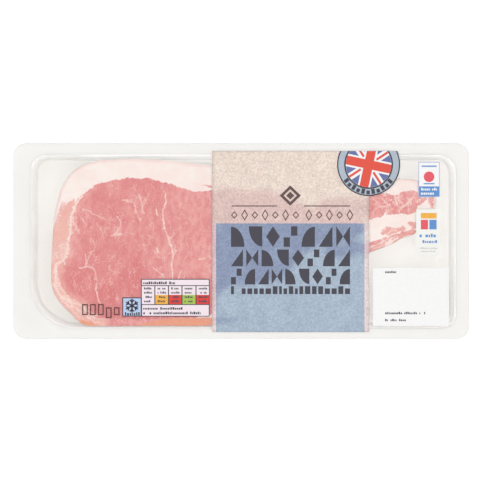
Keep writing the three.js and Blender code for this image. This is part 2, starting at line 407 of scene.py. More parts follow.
def bacon():
    """Cured meat: the attributes say where lean, fat and seams lie, and noise breaks them up."""
    look = Look("bacon")
    fibre_turn = radians(8)
    fibres = look.noise(0.8, 3, (1, 2.4, 1), fibre_turn)
    strands = look.noise(2.8, 6, (1, 1.9, 1), fibre_turn)
    cloud = look.noise(9, 3)
    speck = look.noise(0.6, 2)

    lean = look.mix(look.value("tone"), seen(223, 124, 125), seen(239, 167, 163))
    lean = look.mix(look.ramp(strands, 0.36, 0.68, 0.0, 0.6), lean, seen(221, 123, 125))
    lean = look.mix(look.ramp(fibres, 0.5, 0.72, 0.0, 0.5), lean, seen(244, 176, 172))
    lean = look.mix(look.ramp(speck, 0.52, 0.75, 0.0, 0.4), lean, seen(214, 116, 122))
    lean = look.mix(look.value("warm"), lean, seen(242, 185, 173))

    # Threads of fat run through the lean where two noises cross their middle value.
    thread = 0.0
    for size, width, turn in ((7.0, 0.016, 0.25), (4.2, 0.022, -0.3)):
        off_middle = look.op(look.noise(size, 3, (1, 1.9, 1), turn), 0.5, "SUBTRACT")
        line = look.ramp(look.op(off_middle, 0.0, "ABSOLUTE"), width, 0.0)
        thread = look.op(line, thread, "MAXIMUM")
    patch = look.ramp(look.noise(10, 2), 0.44, 0.6, 0.0, 0.62)
    fleck = look.ramp(look.noise(1.3, 3, (1, 1.7, 1), 0.2), 0.64, 0.74, 0.0, 0.45)
    marbling = look.op(look.op(thread, patch, "MULTIPLY"), fleck, "MAXIMUM")
    lean = look.mix(marbling, lean, seen(250, 208, 201))

    fat = look.mix(look.ramp(cloud, 0.35, 0.65), seen(253, 242, 237), seen(252, 236, 231))
    fat = look.mix(look.ramp(look.noise(1.6, 3, (5, 1, 1)), 0.5, 0.75, 0.0, 0.4), fat, seen(252, 228, 221))
    fat = look.mix(look.value("blush"), fat, seen(249, 224, 219))

    # The edge between fat and lean is ragged at the scale of the grain, and so are the threads.
    ragged = look.ramp(look.noise(0.7, 3), 0.3, 0.7, -0.22, 0.22)
    meat = look.mix(look.ramp(look.op(look.value("lean"), ragged), 0.16, 0.84), fat, lean)
    way = look.add("CombineXYZ", {"X": look.value("vein_x"), "Y": look.value("vein_y")})
    gap = look.add("VectorMath", {0: way.outputs[0]}, operation="LENGTH").outputs["Value"]
    line = look.ramp(look.op(gap, look.op(ragged, 2.0, "MULTIPLY")), 1.35, 0.65)
    meat = look.mix(look.op(line, look.value("vein"), "MULTIPLY"), meat, seen(253, 228, 220))
    meat = look.mix(look.value("amber"), meat, seen(238, 160, 122))
    height = look.op(look.op(fibres, look.value("lean"), "MULTIPLY"), look.op(speck, 0.4, "MULTIPLY"))
    return look.surface(
        Base_Color=meat,
        Roughness=look.ramp(look.noise(3, 3), 0.3, 0.7, 0.34, 0.5),
        IOR=1.38,
        Subsurface_Weight=0.3,
        Subsurface_Radius=(1.0, 0.6, 0.5),
        Subsurface_Scale=0.0005,
        Normal=look.bump(height, 0.3, 0.12),
    )


MOTTLE = 0.055  # how uneven the label's two fields are
BESIDE_BLUE = (1.0, 1.0, 1.12, 1.0)  # the beige field's tint in front of the blue field's back edge


def field_ink(name, over_bare, over_lean, beside_blue=None):
    """A field of thin ink: what lies below tints it, and it has watery patches and fine grain.

    It can have another tint in front of the blue field's back edge.
    """
    look = Look(name)
    below = look.value("below")
    watery = look.ramp(look.noise(9, 4), 0.34, 0.66, -0.16, 0.16)
    share = look.add("Math", {0: below, 1: watery}, operation="ADD", use_clamp=True).outputs[0]
    base = look.mix(share, over_bare, over_lean)
    if beside_blue:
        height = look.add("SeparateXYZ", {"Vector": look.place}).outputs["Y"]
        low = look.ramp(height, (BLUE.back + 2) * MM, (BLUE.back - 2) * MM)
        base = look.mix(low, base, look.times(base, beside_blue))
    for size, share in ((6, 0.5 * MOTTLE), (1.1, 2.4 * MOTTLE)):
        base = look.times(base, look.ramp(look.noise(size, 3), 0.3, 0.7, 1 - share, 1 + share))
    return look.surface(Base_Color=base, Roughness=0.4, IOR=1.45)


# The flat inks, as the screen values they show, and how uneven the cleaner ones are.
INK_COLOURS = dict(
    dark=(58, 56, 70), brown=(92, 68, 66), sand=(226, 204, 195), maroon=(104, 44, 46),
    white=(249, 249, 249), off_white=(246, 246, 242), sky=(176, 189, 203), red=(230, 76, 56),
    navy=(100, 112, 168), frost=(188, 209, 240), blush=(247, 232, 240), amber=(243, 178, 62),
    green=(168, 196, 78), scarlet=(222, 52, 46), azure=(92, 146, 210), lilac=(170, 180, 222),
    grey=(196, 196, 198), rose=(233, 84, 100),
)
CLEAN_INKS = dict(white=0.015, off_white=0.015, blush=0.02)


def flat_ink(name):
    """Solid ink with a slightly uneven lay-down."""
    look = Look(f"ink_{name}")
    worn = CLEAN_INKS.get(name, 0.06)
    uneven = look.ramp(look.noise(1.1, 3), 0.3, 0.7, 1 - worn, 1 + worn)
    base = look.times(printed(*INK_COLOURS[name]), uneven)
    return look.surface(Base_Color=base, Roughness=0.38, IOR=1.45)


ink = {name: flat_ink(name) for name in INK_COLOURS}


# ---- Tray ----

CORNER_STEPS, SIDE_STEPS = 16, 24
FLANGE_SLOT, WALL_SLOT, FLOOR_SLOT, EDGE_SLOT = range(4)


def rounded(box, corners):
    """Points of a rectangle with its own radius at each corner, anticlockwise from the front right."""
    left, right, front, back = box
    plan = ((right, front, -1, 1), (right, back, -1, -1), (left, back, 1, -1), (left, front, 1, 1))
    arcs = []
    for i, ((x, y, in_x, in_y), radius) in enumerate(zip(plan, corners)):
        turn = np.radians(90 * i - 90 + np.linspace(0, 90, CORNER_STEPS + 1))
        x, y = x + in_x * radius, y + in_y * radius
        arcs.append(np.column_stack([x + radius * np.cos(turn), y + radius * np.sin(turn)]))
    share = np.linspace(0, 1, SIDE_STEPS, endpoint=False)[1:, None]
    points = []
    for arc, following in zip(arcs, arcs[1:] + arcs[:1]):
        points += [arc, arc[-1] * (1 - share) + following[0] * share]
    return np.vstack(points)


def outline_in(box, corners, by):
    """A rounded rectangle, moved in by a distance."""
    smaller = Box(box.left + by, box.right - by, box.front + by, box.back - by)
    return rounded(smaller, [radius - by for radius in corners])


def arc_points(middle, height, radius, angles):
    return [(middle + radius * cos(a), height + radius * sin(a)) for a in angles]


def well_section(below):
    """[distance in from the well's outline, height] from the flange down to the floor."""
    rim_z = TRAY_TOP - RIM_RADIUS
    floor_top = WALL + FLOOR_RADIUS
    wall_in = -RIM_RADIUS + RIM_RADIUS * cos(DRAFT)
    wall_z = rim_z + RIM_RADIUS * sin(DRAFT)
    run = (wall_z - floor_top + FLOOR_RADIUS * sin(DRAFT)) / cos(DRAFT)
    floor_in = wall_in + run * sin(DRAFT) + FLOOR_RADIUS * cos(DRAFT)
    rim = np.linspace(pi / 2, DRAFT, 9)
    foot = np.linspace(pi + DRAFT, 1.5 * pi, 11)
    upper = arc_points(-RIM_RADIUS, rim_z, RIM_RADIUS - below, rim)
    lower = arc_points(floor_in, floor_top, FLOOR_RADIUS + below, foot)
    middle = [tuple(np.array(upper[-1]) * (1 - t) + np.array(lower[0]) * t) for t in (0.25, 0.5, 0.75)]
    return upper + middle + lower


def make_tray(materials):
    """One sheet: its lower side from the floor out to the flange's edge, and its upper side back again."""
    film_edge, rounding, edge = (
        outline_in(PACK, [PACK_CORNER] * 4, by) for by in (FILM_SETBACK, EDGE_ROUNDING, 0)
    )
    rim_line = outline_in(WELL, WELL_CORNERS, -RIM_RADIUS)
    under = TRAY_TOP - WALL

    def ring(outline, z, rolled=1.0):
        drop = rolled * edge_roll(outline[:, 0], outline[:, 1])
        return np.column_stack([outline, z - drop])

    def flange(shares, z):
        return [ring(rim_line * (1 - share) + film_edge * share, z) for share in shares]

    def well(below):
        return [ring(outline_in(WELL, WELL_CORNERS, by), z, 0.0) for by, z in well_section(below)]

    shares = np.concatenate([[0.12, 0.22, 0.34], np.linspace(0.45, 1, 9)])
    lower, upper = well(WALL)[::-1], well(0)
    middle = flange(shares, under) + [ring(rounding, under), ring(edge, under + EDGE_ROUNDING)]
    middle += [ring(edge, TRAY_TOP - EDGE_ROUNDING), ring(rounding, TRAY_TOP)]
    middle += flange(shares[::-1], TRAY_TOP)
    points, faces = loft(lower + middle + upper)
    count = len(edge)
    flange_faces = range(1 + (len(lower) - 1) * count, 1 + (len(lower) + len(middle) + RIM_OPAQUE) * count)
    index = []
    for number, face in enumerate(faces):
        x, y, _ = points[list(face[:4])].mean(axis=0)
        if number in flange_faces:
            outside_film = in_from_flange_edge(x, y) < FILM_SETBACK - 0.05
            index.append(EDGE_SLOT if outside_film else FLANGE_SLOT)
        else:
            low = points[face[0], 2] < FOOT_TOP and points[face[-1], 2] < FOOT_TOP
            index.append(FLOOR_SLOT if low else WALL_SLOT)
    smooth = np.array(index) != EDGE_SLOT
    piece("tray_shell", points, faces, materials, ["tray"], smooth=smooth, index=index)


# ---- Film ----

def rounded_grid(half_x, half_y, corner, columns, rows):
    """A grid of places that fills a centred rounded rectangle, closer together near its ends."""
    t = np.linspace(-1, 1, columns)
    x = half_x * np.sign(t) * (1 - (1 - np.abs(t)) ** 1.35)
    over = np.maximum(np.abs(x) - half_x + corner, 0)
    reach = half_y - corner + np.sqrt(np.maximum(corner**2 - over**2, 0))
    return np.repeat(x[:, None], rows, 1), reach[:, None] * np.linspace(-1, 1, rows)[None, :]


def make_film(material):
    size = (PACK.right - FILM_SETBACK, PACK.back - FILM_SETBACK, PACK_CORNER - FILM_SETBACK)
    points, faces, smooth = draped(*rounded_grid(*size, 170, 72), 0.0, FILM_THICKNESS)
    piece("lid_film", points, faces, [material], ["film"], smooth)


# ---- Rashers ----

RASHERS = 8
EDGE = 0.55  # rounding of a cut edge
EDGE_PART = 0.16  # place half way round that rounding
FACE_DROP = 0.1  # the top face lies this far below the solid's top, so that its relief stays inside
CAP_FAT = 2.8  # width of the fat outside the cap at its back end
FACE_ROWS = 190  # rows of the grid over the top rasher's face


def pairs(*numbers):
    return np.reshape(numbers, (-1, 2))


# The loin eye, the salmon muscle at its left, and the streaks of the tail, each as X and Y by turns.
EYE = pairs(
    -99.9, 5.2, -100.1, 10.3, -98.8, 16.6, -95.3, 24.9, -87.7, 30.8, -82, 34, -75.6, 35.6, -64.1, 36.9,
    -51.4, 36.2, -40, 32.8, -26, 28.9, -17, 29.6, -8.9, 30.4, 6.3, 30, 21.5, 28.5, 29.2, 24.5, 36.8, 21.5,
    44.4, 18.5, 52, 16, 60, 13.4, 67, 11.6, 72, 8, 69, 3.4, 60.8, 1.8, 46, -3, 34.4, -9, 25.6, -20.5,
    8, -25.6, -6, -27, -14, -33, -19, -43, -45, -45.6, -65, -45.8, -80.5, -45.3, -86.5, -44.3, -90, -41.8,
    -91.6, -38, -95.9, -35.6, -101.1, -32.1, -103.9, -28.6, -106.1, -24.1, -107.4, -18.4, -107.1, -14.6,
    -104.2, -12, -101.1, -7.6, -101.4, -1.2,
)
CAP = pairs(
    -97.2, 24, -99.2, 24.4, -104.9, 17.3, -108.4, 10.3, -111.5, 6, -113, -4, -112.5, -12, -108.8, -12.6,
    -105.6, -11.6, -102.4, -8, -102.6, -1.4, -101.1, 5, -101.3, 10.6, -100, 16.8,
)
TAIL_UPPER = pairs(
    44, 21, 58, 25.2, 70, 26.4, 78.5, 27.6, 84.8, 28.2, 88.5, 27, 92, 27.1, 94.4, 28.8, 99.4, 29.7,
    103, 28.6, 105, 25.6, 108.6, 25, 107.4, 22.8, 104.3, 21.2, 102.4, 17.8, 99.4, 15.8, 95, 16.2, 90.4, 15.4,
    86.7, 15, 84.4, 15.8, 80.7, 14, 74, 12.8, 62, 11, 50, 12.5,
)
TAIL_TIP = pairs(109.6, 25.4, 113, 25.4, 112.3, 19.4, 110.5, 20.3)
TAIL_STREAK = pairs(
    48, -1, 62, 1, 74, -0.7, 81.5, 1.1, 86, 2.6, 91, 4.4, 97, 6, 102, 6.9, 106, 8.4, 105.4, 6.6, 101.7, 4.5,
    95, 2.6, 90, 1.6, 86.9, 0.3, 84.6, -1.8, 83, -3.8, 78.5, -6, 73, -7.8, 60, -9.5, 50, -10,
)
TAIL_FIBRE = pairs(85.6, -3.2, 87.8, -1.4, 90.6, 0.2, 92.8, 2.2, 94.8, 3.2, 94, 1.2, 91, -0.8, 88, -2.6)
TAIL_BLOBS = [
    pairs(81.4, 4.4, 83.6, 7.4, 86.4, 8.6, 89.6, 7.2, 91.4, 7.9, 93, 7.6, 94.7, 10, 95.8, 7.8, 96.6, 6.8,
        92.4, 5.4, 88.7, 4.4, 85, 3.4),
    pairs(98, 10.2, 99.8, 11.2, 102.4, 11, 104.2, 9, 103.4, 7, 100.6, 6.8),
]
FAT_SLIVERS = [
    pairs(-24.6, 33, -21, 32, -16, 30.8, -17, 32.2, -21.6, 33.2),
    pairs(-21.4, 27.9, -17.6, 26.6, -12, 26.4, -15.6, 28, -19, 28.8),
]
WEDGE = pairs(-95, -48, -93.9, -46.4, -91, -46.8, -88, -47.6, -85, -48.6, -82.6, -49.6, -94, -50.2)

# Marbling: strength, width, then X and Y by turns. Past its reach, in half widths, no thread is looked for.
VEIN_REACH = 5.0
VEINS = [
    (1, 0.7, -93, 26.6, -95.7, 23.3, -99.2, 15.4, -100.1, 6.6, -102.3, -4.6, -103.6, -11, -109.2, -14.1,
     -108.1, -17.3),
    (1, 1.3, -108.6, -15, -108.7, -21, -108.5, -26.9, -107, -31, -104, -33.2, -99.8, -35.2),
    (0.9, 0.7, -99.8, -35.2, -94.3, -38.1, -89.8, -41, -85.1, -44),
    (0.8, 0.6, -103.4, -34.2, -99.8, -36.9, -93.9, -41.6, -87.3, -46.4, -82.8, -47.9),
    (0.7, 0.4, -106.1, -32.5, -102.7, -36.9, -98, -41.6, -94.5, -44.6),
    (0.8, 0.5, -99.4, 12, -96.6, 8.4, -95.4, 4.2),
    (1, 0.42, -44.2, 28, -44.6, 21.9, -46, 15.6, -45.4, 11.7, -44.4, 4.7, -41.9, -1.2, -40, -8.8,
     -40.9, -14.5, -40.3, -22),
    (0.8, 0.3, -40, -8.8, -37.8, -5.6),
    (0.7, 0.3, -39.4, 4.7, -41.9, -0.6),
    (0.9, 0.5, -49.7, 18.9, -48.7, 14.9),
    (0.8, 0.35, -60.3, 27.7, -58.5, 22.6, -57.5, 16.4),
    (0.6, 0.3, -54.1, 27.7, -57.4, 21),
    (0.7, 0.35, -62.9, 22.4, -61, 15.6, -59.1, 11.2),
    (0.8, 0.6, -69.6, 24, -66.8, 23.4, -64.1, 22.8),
    (0.7, 0.35, -72.4, 14.3, -70.5, 9.8, -73, 4.6),
    (0.6, 0.4, -92.7, 18.8, -86.4, 16.2, -79.4, 12.4),
    (0.5, 0.35, -92.7, 13.7, -90.9, 8.6),
    (0.5, 0.35, -84.5, 10.5, -80.7, 3.5),
    (0.6, 0.35, -87.1, 0.6, -85.8, -2.5, -87.1, -6.2),
    (0.9, 0.55, -94.9, -15.6, -91, -15.2, -87, -15.7),
    (0.7, 0.3, -91.6, -7.6, -91, -15.5),
    (0.6, 0.3, -88.9, -8.8, -90.9, -15.2),
    (0.8, 0.4, -87.1, -15.8, -84.5, -20.9, -85.1, -28.5, -83.9, -34.2, -82.2, -37.6),
    (0.8, 0.5, -75.9, 3.1, -73.4, 3.6, -70.3, 4.2),
    (0.5, 0.3, -72.6, 6.2, -73.9, 1.4),
    (0.7, 0.4, -51.6, -15.6, -49, -17.6, -46.5, -19.2),
    (0.8, 0.4, -49.7, -4, -48.2, -6.6),
    (0.8, 0.35, -35.1, -17.2, -36.8, -21.8),
    (0.7, 0.4, -25, -10.8, -21.4, -10.3),
    (0.6, 0.35, -19.9, -8.6, -16.6, -10.3),
    (0.6, 0.35, -45.1, -19.6, -47.2, -21.7),
    (0.6, 0.4, -77.5, -14.2, -77.1, -16.6),
    (0.6, 0.35, -97.8, -22.9, -97, -25.6),
    (0.9, 0.45, 92.6, 27.6, 92.6, 23.7, 95, 21.4, 95, 20, 92.6, 17.6, 92.4, 15.9),
    (0.8, 0.35, 100.6, 25.2, 97.1, 21.5, 95, 20.6),
    (0.7, 0.5, 80.3, 20.9, 81.3, 20.3),
    (0.8, 0.5, 84.8, 18, 85.4, 14.8),
    (0.6, 0.5, 89.8, 22.2, 90.5, 21.6),
    (0.6, 0.35, 77.5, 24.4, 80.6, 20.8, 76.6, 16.8),
    (0.9, 0.35, 89.4, 28.6, 91.1, 21.8, 92.8, 19.5),
    (0.9, 0.35, 95.6, 20.1, 100.7, 26.4, 102.4, 29.2),
    (0.7, 0.3, 82.6, 25.2, 86, 19.5, 84.8, 15),
    (0.7, 0.3, 78.1, 21.8, 81.5, 20.1, 86, 20.7),
    (0.7, 0.3, 97.3, 25.2, 99.6, 21.8),
    (0.9, 0.35, 81, -5.4, 86, -2.2, 90, 0.6, 94, 2.4),
    (0.95, 0.45, 68, -5.9, 75, -3.7, 80.5, -1.8, 85.5, 0.5, 91.5, 3),
    (0.7, 0.3, 74, -6.9, 79, -4.4, 83.6, -2.4),
    (0.8, 0.4, 86, 4.2, 89.4, 6.6, 91, 6),
    (0.7, 0.35, 82.6, 5.4, 84.4, 7),
]


def node_outline(name):
    """A packed rasher's outline, anticlockwise, from the middle of its cut edge, and its low and high Z."""
    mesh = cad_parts[name].data
    points = np.empty(len(mesh.vertices) * 3)
    mesh.vertices.foreach_get("co", points)
    points = points.reshape(-1, 3) / MM
    _, low, high = node_box(name)
    middle = (points[:, 2] > low + 0.3) & (points[:, 2] < high - 0.3)
    ring = np.unique(points[middle][:, :2].round(3), axis=0)
    turn = np.arctan2(*(ring - ring.mean(axis=0)).T[::-1])
    return ring[np.argsort(turn)], low, high


def drawn_in(line, by):
    """A closed line moved in by a distance."""
    along = np.roll(line, -1, axis=0) - np.roll(line, 1, axis=0)
    along /= np.hypot(*along.T)[:, None]
    return line + by * np.column_stack([-along[:, 1], along[:, 0]])


def rind_bands(x, y, out, inward):
    """How lean the streaky strip outside the eye's front left side is, by the distance out from the eye."""
    left = step(-34, -26, y)
    seam = step(0.0, 0.5, out) * step(1.6 + 1.5 * left, 0.9 + 1.3 * left, out)
    second = 0.75 * (1 - left) * np.exp(-(((out - 4.4 - 0.5 * patchy(x, y, 5, 27)) / 0.8) ** 2))
    edge = 0.6 * (1 - left) * step(1.2, 0.3, inward)
    thin = 0.5 * step(0.25, 0.7, patchy(x * 0.7 + y * 0.7, (y - x) * 1.5, 1.5, 28))
    return 1 - 0.46 * np.maximum.reduce([seam, second, edge, thin])


def lean_masks(x, y, outline):
    """Where a rasher is lean, pale, warm, pink at its edge or amber, and how far in each place lies."""
    jag = 0.5 * patchy(x, y, 2.6, 11) + 0.45 * patchy(x, y, 1.1, 12)

    def part(shape, soft=0.35):
        return step(-soft, soft, depth_in(x, y, shape) + jag)

    eye_depth = depth_in(x, y, EYE)
    eye = step(-0.35, 0.35, eye_depth + jag)
    inward = from_line(x, y, outline, closed=True)
    left_fat = CAP_FAT * np.clip((y - 3) / 20, 0, 1)
    past_fat = step(left_fat - 0.5, left_fat + 0.1, inward + 0.3 * jag)
    cap = part(CAP, 0.6) * past_fat
    low_cap = step(3, -4, y)
    tail = np.maximum.reduce([part(TAIL_UPPER), 0.8 * part(TAIL_TIP, 0.7), part(TAIL_STREAK, 0.5)])
    tail *= 1 - 0.5 * step(0.3, 0.75, patchy(x, y, 1.3, 29))
    fibre = part(TAIL_FIBRE, 0.5)
    blobs = np.maximum.reduce([0.85 * part(shape, 0.7) for shape in TAIL_BLOBS])
    slivers = np.maximum.reduce([0.75 * part(shape, 0.5) for shape in FAT_SLIVERS])
    corner = step(-11, -14, y) * step(-76, -84, x) * (1 - eye)
    front = step(-44.6, -45.6, y + 0.4 * jag) * step(-88, -80, x) * (1 - eye)
    left_seam = 0.62 * step(-90, -96, x) * step(26, 20, y) * (1 - eye) * past_fat
    strip = rind_bands(x, y, 0.5 * jag - eye_depth, inward)
    lean = np.maximum.reduce(
        [eye, cap * (0.9 - 0.34 * low_cap), left_seam, corner * strip, front, tail, fibre, blobs, slivers]
    )

    stripes = patchy(x * 0.12, y * 1.15 + x * 0.35, 1.0, 23)
    pale_side = step(5.0, 0.5, eye_depth) * step(-78, -96, x)
    tone = 0.5 + 0.4 * patchy(x, y, 12, 21) + 0.32 * patchy(x, y * 0.45, 4.2, 22)
    deep_spot = 0.4 * np.exp(-(((x + 62) / 4) ** 2 + ((y + 18) / 18) ** 2))
    tone += 0.42 * step(-50, -25, x) + 0.15 * step(-78, -90, x) - deep_spot
    tone -= 0.42 * step(-8, -30, y) * eye
    tone += tail * (0.5 * patchy(x, y, 1.5, 26) - 0.08) + corner + 0.6 * pale_side
    tone += front * (0.3 + 0.5 * stripes + 0.6 * step(-68, -80, x))
    warm = 0.9 * cap * (1 - eye) + 0.7 * corner + 0.55 * blobs + 0.2 * tail * step(60, 90, x)
    warm += 0.35 * pale_side * eye + 0.8 * left_seam * (1 - cap) + 0.3 * patchy(x, y, 5, 24) * (cap + corner)
    warm += 0.6 * front * step(-74, -84, x)
    blush = 0.85 * step(2.2, 0.6, inward + 0.35 * jag) + 0.35 * step(0.1, 0.7, patchy(x, y, 7, 25))
    amber_line = -48.9 + 3.9 * step(-64, -38, x)
    amber = step(0.5, -0.5, y - amber_line + 0.5 * jag) * step(-64, -56, x) * (0.8 + 0.2 * stripes)
    amber = np.maximum.reduce([amber, 0.95 * part(WEDGE, 0.6), 0.6 * fibre])
    return lean, *(np.clip(mask, 0, 1) for mask in (tone, warm, blush, amber)), inward


def thread(points, seed):
    """A jagged line through the points, with short twigs that leave it now and then."""
    draw = np.random.default_rng(seed)
    line = bend(points, False, 1.5)
    line[1:-1] += draw.normal(0, 0.28, (len(line) - 2, 2))
    lines = [line]
    for start, ahead in zip(line[1:-1], line[2:]):
        if draw.random() < 0.3:
            run = (ahead - start) / np.hypot(*(ahead - start))
            side = draw.choice([-1, 1])
            away = run + side * draw.uniform(0.5, 1.1) * np.array([-run[1], run[0]])
            lines.append(np.array([start, start + away * draw.uniform(0.8, 2.4)]))
    return lines


def vein_field(x, y):
    """The marbling that stands out: the way to the nearest thread in half widths, and its strength."""
    way = np.full((2,) + x.shape, VEIN_REACH)
    force = np.zeros(x.shape)
    for number, (strength, width, *points) in enumerate(VEINS):
        for branch, line in enumerate(thread(pairs(*points), 300 + number)):
            share = 1.0 if branch == 0 else 0.75
            half = share * (0.16 + 0.45 * width)
            reach = VEIN_REACH * half
            near = (x > line[:, 0].min() - reach) & (x < line[:, 0].max() + reach)
            near &= (y > line[:, 1].min() - reach) & (y < line[:, 1].max() + reach)
            offset = way_to_line(x[near], y[near], line) / half
            closer = np.hypot(*offset) < np.hypot(*way[:, near])
            way[:, near] = np.where(closer, offset, way[:, near])
            force[near] = np.where(closer, share * strength, force[near])
    broken = 0.75 + 0.35 * patchy(x, y, 1.7, 32)
    return way, np.clip(force * broken, 0, 1) * step(VEIN_REACH, 0.7 * VEIN_REACH, np.hypot(*way))


def make_top_rasher(material):
    """The rasher that shows: a fine grid over its face, then rings round its cut edge."""
    shape, low, high = node_outline("rasher_1")
    outline = bend(shape, True, 0.6)
    outline = np.roll(outline, -int(np.argmin(outline[:, 0])), axis=0)
    half = int(np.argmax(outline[:, 0]))
    lower = outline[: half + 1]
    upper = np.vstack([outline[half:], outline[:1]])[::-1]
    columns = max(len(lower), len(upper))
    share = np.linspace(0, 1, columns)

    def chain(line):
        return at_lengths(line, share * lengths(line)[-1])

    loop = np.vstack([chain(lower), chain(upper)[-2:0:-1]])
    count = len(loop)
    face_loop = drawn_in(loop, EDGE)
    lower_in = face_loop[:columns]
    upper_in = np.vstack([face_loop[:1], face_loop[columns:][::-1], face_loop[columns - 1 : columns]])
    rise = np.linspace(0, 1, FACE_ROWS)[None, 1:-1, None]
    inner = lower_in[1:-1, None] * (1 - rise) + upper_in[1:-1, None] * rise
    face_points = np.vstack([face_loop, inner.reshape(-1, 2)])

    # The grid narrows to one point at each end, so the faces there lose a corner.
    ids = np.repeat(np.arange(columns)[:, None], FACE_ROWS, 1)
    ids[1:-1, -1] = count - ids[1:-1, 0]
    ids[1:-1, 1:-1] = count + np.arange((columns - 2) * (FACE_ROWS - 2)).reshape(columns - 2, -1)
    quads = [[a for i, a in enumerate(quad) if a != quad[i - 1]] for quad in grid_faces(ids)]
    faces = [quad for quad in quads if len(quad) > 2]

    x, y = face_points.T
    *masks, inward = lean_masks(x, y, bend(shape, True, 2.0))
    way, veins = vein_field(x, y)
    lean = masks[0]
    sunk = veins * step(1.5, 0.5, np.hypot(*way))
    relief = 0.1 * lean * patchy(x, y, 3.0, 41) - 0.12 * sunk - 0.1 * (1 - lean) * patchy(x, y, 6, 42) ** 2
    points = [np.column_stack([x, y, high - FACE_DROP + relief * step(0, 2.5, inward)])]
    first = 0
    # Rings down the cut edge: how far round the rounding, and whether that is the upper one.
    for k, (angle, top) in enumerate(((30, 1), (60, 1), (90, 1), (90, 0), (45, 0), (0, 0))):
        turn = radians(angle)
        fall = EDGE * (1 - cos(turn))
        z = high - FACE_DROP - fall if top else low + fall
        points.append(np.column_stack([drawn_in(loop, EDGE * (1 - sin(turn))), np.full(count, z)]))
        start = len(face_points) + k * count
        faces += band(start, first, count)
        first = start
    faces.append(tuple(range(first, first + count))[::-1])
    made = piece("rasher_top", np.vstack(points), faces, [material], ["rasher_1"])
    # On the rings of the cut edge the masks are weakened, which paints the edge paler, less lean and less
    # pink: painted light against the shade on its rounding.
    painted_light_edge_share = dict(lean=0.8, tone=1.0, warm=1.0, blush=0.6, amber=0.8)
    for (name, share), mask in zip(painted_light_edge_share.items(), masks):
        store(made, name, np.concatenate([mask, np.tile(share * mask[:count], 6)]))
    for name, values in (("vein", veins), ("vein_x", way[0]), ("vein_y", way[1])):
        store(made, name, np.concatenate([values, np.zeros(6 * count)]))


def make_lower_rasher(number, material):
    """A rasher of the stack below, of which only the cut edge and a narrow border can show."""
    shape, low, high = node_outline(f"rasher_{number}")
    line = bend(shape, True, 1.1)
    insets = [EDGE, EDGE_PART, 0, 0, EDGE_PART, EDGE, 1.2, 2.0, 3.2, 5.0, 7.5]
    heights = [low, low + EDGE_PART, low + EDGE, high - EDGE, high - EDGE_PART] + [high] * 6
    rings = [np.column_stack([drawn_in(line, by), np.full(len(line), z)]) for by, z in zip(insets, heights)]
    points, faces = loft(rings)
    made = piece(f"rasher_{number}_body", points, faces, [material], [f"rasher_{number}"])
    x, y = points[:, 0] + 3 * number, points[:, 1]
    inward = np.repeat(insets, len(line))
    streak = patchy(x, y * 2, 7, 50 + number)
    front = step(20, -10, points[:, 1])
    cut = np.arange(len(points)) < 4 * len(line)  # the first four rings are the cut edge
    store(made, "lean", front * np.clip(0.7 + 0.2 * cut + 0.4 * streak, 0, 1))
    store(made, "tone", np.clip(0.9 - 0.35 * cut + 0.3 * patchy(x, y, 6, 60 + number), 0, 1))
    store(made, "warm", np.clip(0.7 - 0.45 * cut + 0.4 * patchy(x, y, 14, 70 + number), 0, 1))
    store(made, "blush", 0.3 + 0.3 * streak)
    vein = (0.7 - 0.5 * cut) * step(0.5, 0.1, inward)
    store(made, "vein", vein * step(-0.6, 0.2, patchy(x, y, 5, 80 + number)) * front)
    right = step(-62, -46, points[:, 0]) * step(60, 20, points[:, 0])
    tail = step(4, 1, np.hypot((points[:, 0] - 89) / 2.2, points[:, 1] - 0.5))
    store(made, "amber", np.clip(front * (0.8 * right + 0.5 * tail) * (0.6 + 0.4 * streak), 0, 1))


# ---- Print ----

def rect(left, right, front, back):
    return [(left, front), (right, front), (right, back), (left, back)]


def disc(x, y, radius, start=0, stop=360):
    count = max(8, int(abs(stop - start) / 360 * 72))
    turn = np.radians(np.linspace(start, stop, count, endpoint=stop - start < 360))
    return [(x + radius * cos(a), y + radius * sin(a)) for a in turn]


def frame_of(left, right, front, back, stroke):
    """The four bars of a thin frame."""
    return [
        rect(left, right, front, front + stroke),
        rect(right - stroke, right, front + stroke, back - stroke),
        rect(left, right, back - stroke, back),
        rect(left, left + stroke, front + stroke, back - stroke),
    ]


RHOMB = [(0, -1), (1, 0), (0, 1), (-1, 0)]


def thin_rhomb(x, y, half_x, half_y, stroke):
    """The four bars of a thin rhomb."""
    share = 1 - stroke * hypot(half_x, half_y) / (half_x * half_y)
    bars = []
    for a, b in zip(RHOMB, RHOMB[1:] + RHOMB[:1]):
        ends = [a, b, (b[0] * share, b[1] * share), (a[0] * share, a[1] * share)]
        bars.append([(x + px * half_x, y + py * half_y) for px, py in ends])
    return bars


def turned(points, angle, x=0.0, y=0.0):
    c, s = cos(angle), sin(angle)
    return [(x + px * c - py * s, y + px * s + py * c) for px, py in points]


def clipped(points):
    """A convex shape cut off at the label's back edge."""
    kept = []
    for a, b in zip(points, points[1:] + points[:1]):
        da, db = LABEL.back - a[1], LABEL.back - b[1]
        if da >= 0:
            kept.append(a)
        if da * db < 0:
            share = da / (da - db)
            kept.append((a[0] + (b[0] - a[0]) * share, a[1] + (b[1] - a[1]) * share))
    return kept


def quarter(corner_x, corner_y):
    """A quarter disc in a unit square, round one of its corners."""
    start = {(0, 0): 0, (1, 0): 90, (1, 1): 180, (0, 1): 270}[corner_x, corner_y]
    return [(corner_x, corner_y)] + disc(corner_x, corner_y, 0.98, start, start + 90)


TILES = [
    [quarter(0, 0)],
    [[(0, 0), (1, 0), (1, 1)]],
    [rect(0, 0.46, 0, 0.46), rect(0.54, 1, 0.54, 1)],
    [quarter(1, 1)],
    [[(0, 1), (0, 0), (0.5, 0.5)], [(1, 0), (1, 1), (0.5, 0.5)]],
    [quarter(1, 0)],
    [[(0.5, 0), (1, 0.5), (0.5, 1), (0, 0.5)]],
]
TILE_GAP = 0.28  # between one tile and the next, in tile widths


